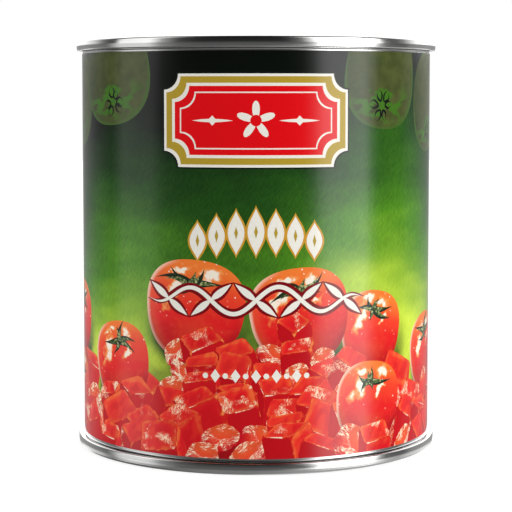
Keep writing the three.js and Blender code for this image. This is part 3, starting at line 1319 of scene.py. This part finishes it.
def ground_level(tree, place):
    """The height that picks the ground's colour, in centimetres, with its waves round the tin."""
    parts = split(tree, place)
    drift = noise(tree, place, 1.0, (3.2, 1.4), 0, 2.0)
    wave = times(tree, sums(tree, "COSINE", times(tree, parts["X"], 2 * math.pi / GROUND_WAVE)), 0.8)
    wander = times(tree, minus(tree, drift, 0.5), 3.0)
    level = plus(tree, parts["Y"], plus(tree, wave, wander))
    slope = sums(tree, "SINE", times(tree, parts["X"], -2 * math.pi / GROUND_SLOPE))
    return plus(tree, level, times(tree, sums(tree, "MAXIMUM", slope, -0.35), 0.9))


def ground_colour(tree):
    place = layer(tree, "sheet")
    level = ground_level(tree, place)
    stops = [(z / GROUND_TOP, (*colour, 1)) for z, colour in GROUND_STOPS]
    base = ramp(tree, sums(tree, "DIVIDE", level, GROUND_TOP / CENTIMETRE), stops, "LINEAR")
    brush = noise(tree, place, 1.0, (0.26, 0.038), 52, 2.0)
    cross = noise(tree, place, 1.0, (0.2, 0.045), 112, 2.0)
    strokes = plus(tree, times(tree, brush, 0.6), times(tree, cross, 0.4))
    strength = ease(tree, level, 4.0, 6.0, 0.45, 1.0)
    bright = plus(tree, times(tree, ease(tree, strokes, 0.36, 0.66, -0.16, 0.22), strength), 1.0)
    brightness = wire(tree, "CombineXYZ", {0: bright, 1: bright, 2: bright}).outputs[0]
    brushed = mix(tree, 1.0, base, brightness, "MULTIPLY")
    depth = wire(tree, "Attribute", {}, attribute_name="shade").outputs["Fac"]
    return mix(tree, times(tree, depth, 0.95), brushed, GROUND_SHADOW)


printed("ground_ink", ground_colour)

# %% [markdown]
# ## Tomato skin
# The skin is orange at the shoulders and deepens to dark red below. Four soft windows shine on it, broken
# up where the skin is uneven, a pale rim of light follows the left edge, and fine drops of water sit on it.

# %% Mix the tomato ink
SKIN_STOPS = [
    (0.0, (0.30, 0.003, 0.007, 1)), (0.22, (0.52, 0.005, 0.010, 1)), (0.5, (0.76, 0.012, 0.014, 1)),
    (0.70, (0.83, 0.045, 0.020, 1)), (1.0, (0.88, 0.20, 0.03, 1)),
]
WINDOWS = (
    ((-0.42, 0.30), (0.13, 0.32), -32), ((-0.26, 0.74), (0.20, 0.07), 12),
    ((0.32, 0.70), (0.17, 0.11), -18), ((0.30, 0.28), (0.06, 0.20), -52),
)


def skin_base(tree, place, sheet, mottle):
    """The skin without its edges and its shine."""
    tone = split(tree, layer(tree, "tone"))["X"]
    slope = plus(tree, split(tree, place)["Y"], times(tree, tone, 0.25))
    body = ramp(tree, plus(tree, times(tree, slope, 0.5), 0.5), SKIN_STOPS)
    glow = spot(tree, place, (0.08, -0.42), (0.34, 0.26), 0, 0.8)
    body = mix(tree, times(tree, glow, 0.4), body, (0.78, 0.075, 0.025, 1))
    return mix(tree, ease(tree, mottle, 0.45, 0.75, 0.0, 0.2), body, (0.84, 0.10, 0.03, 1))


def skin_edges(tree, body, exact):
    """Warmer and then pale towards the left edge, and darker towards the lower one."""
    narrowed = sums(tree, "DIVIDE", exact["X"], plus(tree, times(tree, exact["Y"], TOMATO_TAPER), 1.0))
    edge = roundness(tree, narrowed, exact["Y"])
    side = ease(tree, exact["X"], -0.25, -0.8)
    warm = times(tree, ease(tree, edge, 0.4, 0.85), side)
    body = mix(tree, times(tree, warm, 0.4), body, (0.82, 0.12, 0.04, 1))
    rim = times(tree, ease(tree, edge, 0.8, 0.97), side)
    body = mix(tree, times(tree, rim, 0.9), body, (0.92, 0.60, 0.44, 1))
    dark = times(tree, ease(tree, edge, 0.5, 1.0), ease(tree, exact["Y"], 0.2, -0.7))
    return mix(tree, times(tree, dark, 0.5), body, (0.2, 0.006, 0.01, 1))


def tomato_colour(tree):
    flat = layer(tree, "motif")
    sheet = layer(tree, "sheet")
    place = pushed_about(tree, flat, sheet, 1.3, 0.42)
    rippled = pushed_about(tree, place, sheet, 5.5, 0.26)
    exact = split(tree, flat)
    mottle = noise(tree, sheet, 6.0, detail=4.0)
    body = skin_edges(tree, skin_base(tree, place, sheet, mottle), exact)
    shine = 0.0
    for centre, radii, lean in WINDOWS:
        shine = sums(tree, "MAXIMUM", shine, spot(tree, rippled, centre, radii, lean, 0.6))
    shine = times(tree, shine, ease(tree, noise(tree, sheet, 2.6), 0.36, 0.56, 0.35, 1.0))
    body = mix(tree, ease(tree, shine, 0.0, 0.5), body, (0.92, 0.34, 0.09, 1))
    body = mix(tree, ease(tree, shine, 0.34, 0.8), body, (0.94, 0.84, 0.70, 1))
    drops = wire(tree, "TexVoronoi", {"Vector": sheet, "Scale": 6.0}).outputs["Distance"]
    where = times(tree, ease(tree, exact["Y"], -0.5, 0.3), ease(tree, mottle, 0.44, 0.54))
    return mix(tree, times(tree, ease(tree, drops, 0.16, 0.1), where), body, (0.93, 0.80, 0.66, 1))


printed("tomato_ink", tomato_colour)

# %% [markdown]
# ## Leaves and green tomatoes
# The leaves round a stem are dark blue-green where they are in shadow and pale green where they catch the
# light, with fine ribs. The green tomatoes are only a little lighter than the ground, with a few loose
# strokes of a brighter green round the stem and along the edge, and their sketched leaves are nearly black.

# %% Mix the leaf inks
LEAF_STOPS = [(0.0, (0.009, 0.020, 0.012, 1)), (0.35, (0.06, 0.105, 0.03, 1)), (0.9, (0.52, 0.54, 0.24, 1))]
SKETCH_INK = (0.004, 0.006, 0.004, 1)


def leaf_colour(tree):
    tone = split(tree, layer(tree, "tone"))["X"]
    ribs = noise(tree, layer(tree, "sheet"), 14.0)
    return ramp(tree, times(tree, tone, ease(tree, ribs, 0.35, 0.7, 0.2, 1.0)), LEAF_STOPS)


def green_tomato_colour(tree):
    flat = layer(tree, "motif")
    sheet = layer(tree, "sheet")
    parts = split(tree, flat)
    blotch = noise(tree, sheet, 3.0, detail=4.0)
    body = mix(tree, ease(tree, blotch, 0.3, 0.7), (0.05, 0.066, 0.016, 1), (0.075, 0.092, 0.024, 1))
    body = mix(tree, ease(tree, parts["X"], -0.2, 1.0, 0.0, 0.5), body, (0.022, 0.038, 0.009, 1))
    bend = noise(tree, flat, 1.0, (0.9, 0.5), 20, 3.0)
    strokes = ease(tree, sums(tree, "ABSOLUTE", minus(tree, bend, 0.52)), 0.05, 0.02)
    near = times(tree, spot(tree, flat, (0.0, 0.55), (0.75, 0.32), 0, 0.5), strokes)
    body = mix(tree, times(tree, near, 0.9), body, (0.045, 0.16, 0.010, 1))
    edge = roundness(tree, parts["X"], parts["Y"])
    return mix(tree, ease(tree, edge, 0.86, 0.98, 0.0, 0.6), body, (0.045, 0.13, 0.015, 1))


printed("leaf_ink", leaf_colour)
printed("green_leaf_ink", lambda tree: SKETCH_INK)
printed("green_tomato_ink", green_tomato_colour)

# %% [markdown]
# ## Diced flesh
# A cut face is deep red and a little grainy, warmer along its rim and deeper in its hollow, and a wet face
# is paler, with cream sparkles in fine streaks. The pulp is the same flesh, lighter towards its middle and
# top.

# %% Mix the dice inks
DICE_STOPS = [
    (0.0, (0.50, 0.003, 0.008, 1)), (0.3, (0.67, 0.006, 0.012, 1)), (0.6, (0.80, 0.012, 0.016, 1)),
    (1.0, (0.86, 0.036, 0.022, 1)),
]


def squiggles(tree, place, long, wide, strength, thick, lean=0.0):
    """Thin wavering lines, where a stretched noise crosses its middle value. Strong ones run together."""
    streaks = noise(tree, place, 1.0, (long, wide), lean, 2.0)
    away = sums(tree, "ABSOLUTE", minus(tree, streaks, 0.5))
    return ease(tree, minus(tree, times(tree, strength, thick), away), 0.0, 0.025)


def dice_colour(tree):
    tone = split(tree, layer(tree, "tone"))
    face = split(tree, layer(tree, "motif"))
    sheet = layer(tree, "sheet")
    base = ramp(tree, tone["X"], DICE_STOPS)
    flesh = noise(tree, sheet, 1.0, (0.5, 0.25), 60, 4.0)
    lit = ease(tree, tone["X"], 0.15, 0.6)
    grain = times(tree, ease(tree, flesh, 0.44, 0.68, 0.0, 0.4), lit)
    base = mix(tree, grain, base, (0.86, 0.08, 0.022, 1))
    away = [sums(tree, "ABSOLUTE", minus(tree, face[axis], 0.5)) for axis in ("X", "Y")]
    far = sums(tree, "MAXIMUM", *away)
    rim = times(tree, ease(tree, far, 0.33, 0.48), ease(tree, flesh, 0.4, 0.6, 0.1, 0.65))
    base = mix(tree, times(tree, rim, lit), base, (0.90, 0.19, 0.04, 1))
    hollow = times(tree, ease(tree, flesh, 0.56, 0.4), ease(tree, far, 0.42, 0.15))
    base = mix(tree, times(tree, hollow, 0.45), base, (0.56, 0.003, 0.010, 1))
    base = mix(tree, ease(tree, face["Y"], 0.8, 0.0, 0.0, 0.3), base, (0.48, 0.003, 0.008, 1))
    patches = ease(tree, noise(tree, sheet, 2.0, detail=2.0), 0.48, 0.68)
    damp = times(tree, patches, tone["Y"])
    lines = squiggles(tree, sheet, 0.14, 0.035, damp, 0.09, 62)
    base = mix(tree, times(tree, damp, 0.55), base, (0.88, 0.15, 0.04, 1))
    return mix(tree, times(tree, lines, 0.9), base, (0.97, 0.76, 0.55, 1))


def pulp_colour(tree):
    tone = split(tree, layer(tree, "tone"))
    motif = layer(tree, "motif")
    parts = split(tree, motif)
    away = distance(tree, motif)
    base = mix(tree, ease(tree, away, 0.2, 1.0), (0.83, 0.05, 0.022, 1), (0.58, 0.004, 0.012, 1))
    light = ease(tree, plus(tree, parts["Y"], times(tree, parts["X"], 0.4)), -0.4, 0.8)
    base = mix(tree, times(tree, light, 0.5), base, (0.88, 0.17, 0.035, 1))
    where = ease(tree, noise(tree, motif, 1.3, detail=2.0), 0.4, 0.66)
    lines = squiggles(tree, motif, 0.42, 0.1, times(tree, where, tone["Y"]), 0.12)
    return mix(tree, lines, base, (0.97, 0.80, 0.58, 1))


def dice_edge_colour(tree):
    sheet = layer(tree, "sheet")
    glint = ease(tree, noise(tree, sheet, 5.0), 0.52, 0.68)
    return mix(tree, glint, (0.62, 0.010, 0.010, 1), (0.90, 0.26, 0.06, 1))


def glint_colour(tree):
    broken = ease(tree, noise(tree, layer(tree, "sheet"), 14.0, detail=2.0), 0.4, 0.55)
    return mix(tree, broken, (0.84, 0.22, 0.10, 1), (0.94, 0.80, 0.64, 1))


def heap_colour(tree):
    grain = noise(tree, layer(tree, "sheet"), 4.0)
    return mix(tree, grain, (0.26, 0.002, 0.004, 1), (0.44, 0.003, 0.008, 1))


printed("glint_ink", glint_colour)
printed("pulp_ink", pulp_colour)
printed("dice_ink", dice_colour)
printed("dice_edge_ink", dice_edge_colour)
printed("heap_ink", heap_colour)

# %% [markdown]
# ## Plain inks
# The ornament and the bare paper use flat inks. Print is never quite even, so each has a faint grain.

# %% Mix the plain inks
PLAIN_INKS = {
    "shadow_ink": (0.006, 0.012, 0.008),
    "cream_ink": (0.92, 0.89, 0.80),
    "gold_ink": (0.48, 0.33, 0.03),
    "amber_ink": (0.66, 0.33, 0.03),
    "red_ink": (0.80, 0.002, 0.006),
    "wine_ink": (0.22, 0.002, 0.006),
    "bare_paper": (0.80, 0.79, 0.76),
}
GRAIN = 0.12


def plain(colour):
    def colour_of(tree):
        dots = noise(tree, layer(tree, "sheet"), 12.0, detail=2.0)
        return mix(tree, dots, (*colour, 1), (*[part * (1 - GRAIN) for part in colour], 1))
    return colour_of


for name, colour in PLAIN_INKS.items():
    printed(name, plain(colour))
print("inks:", len(INKS))
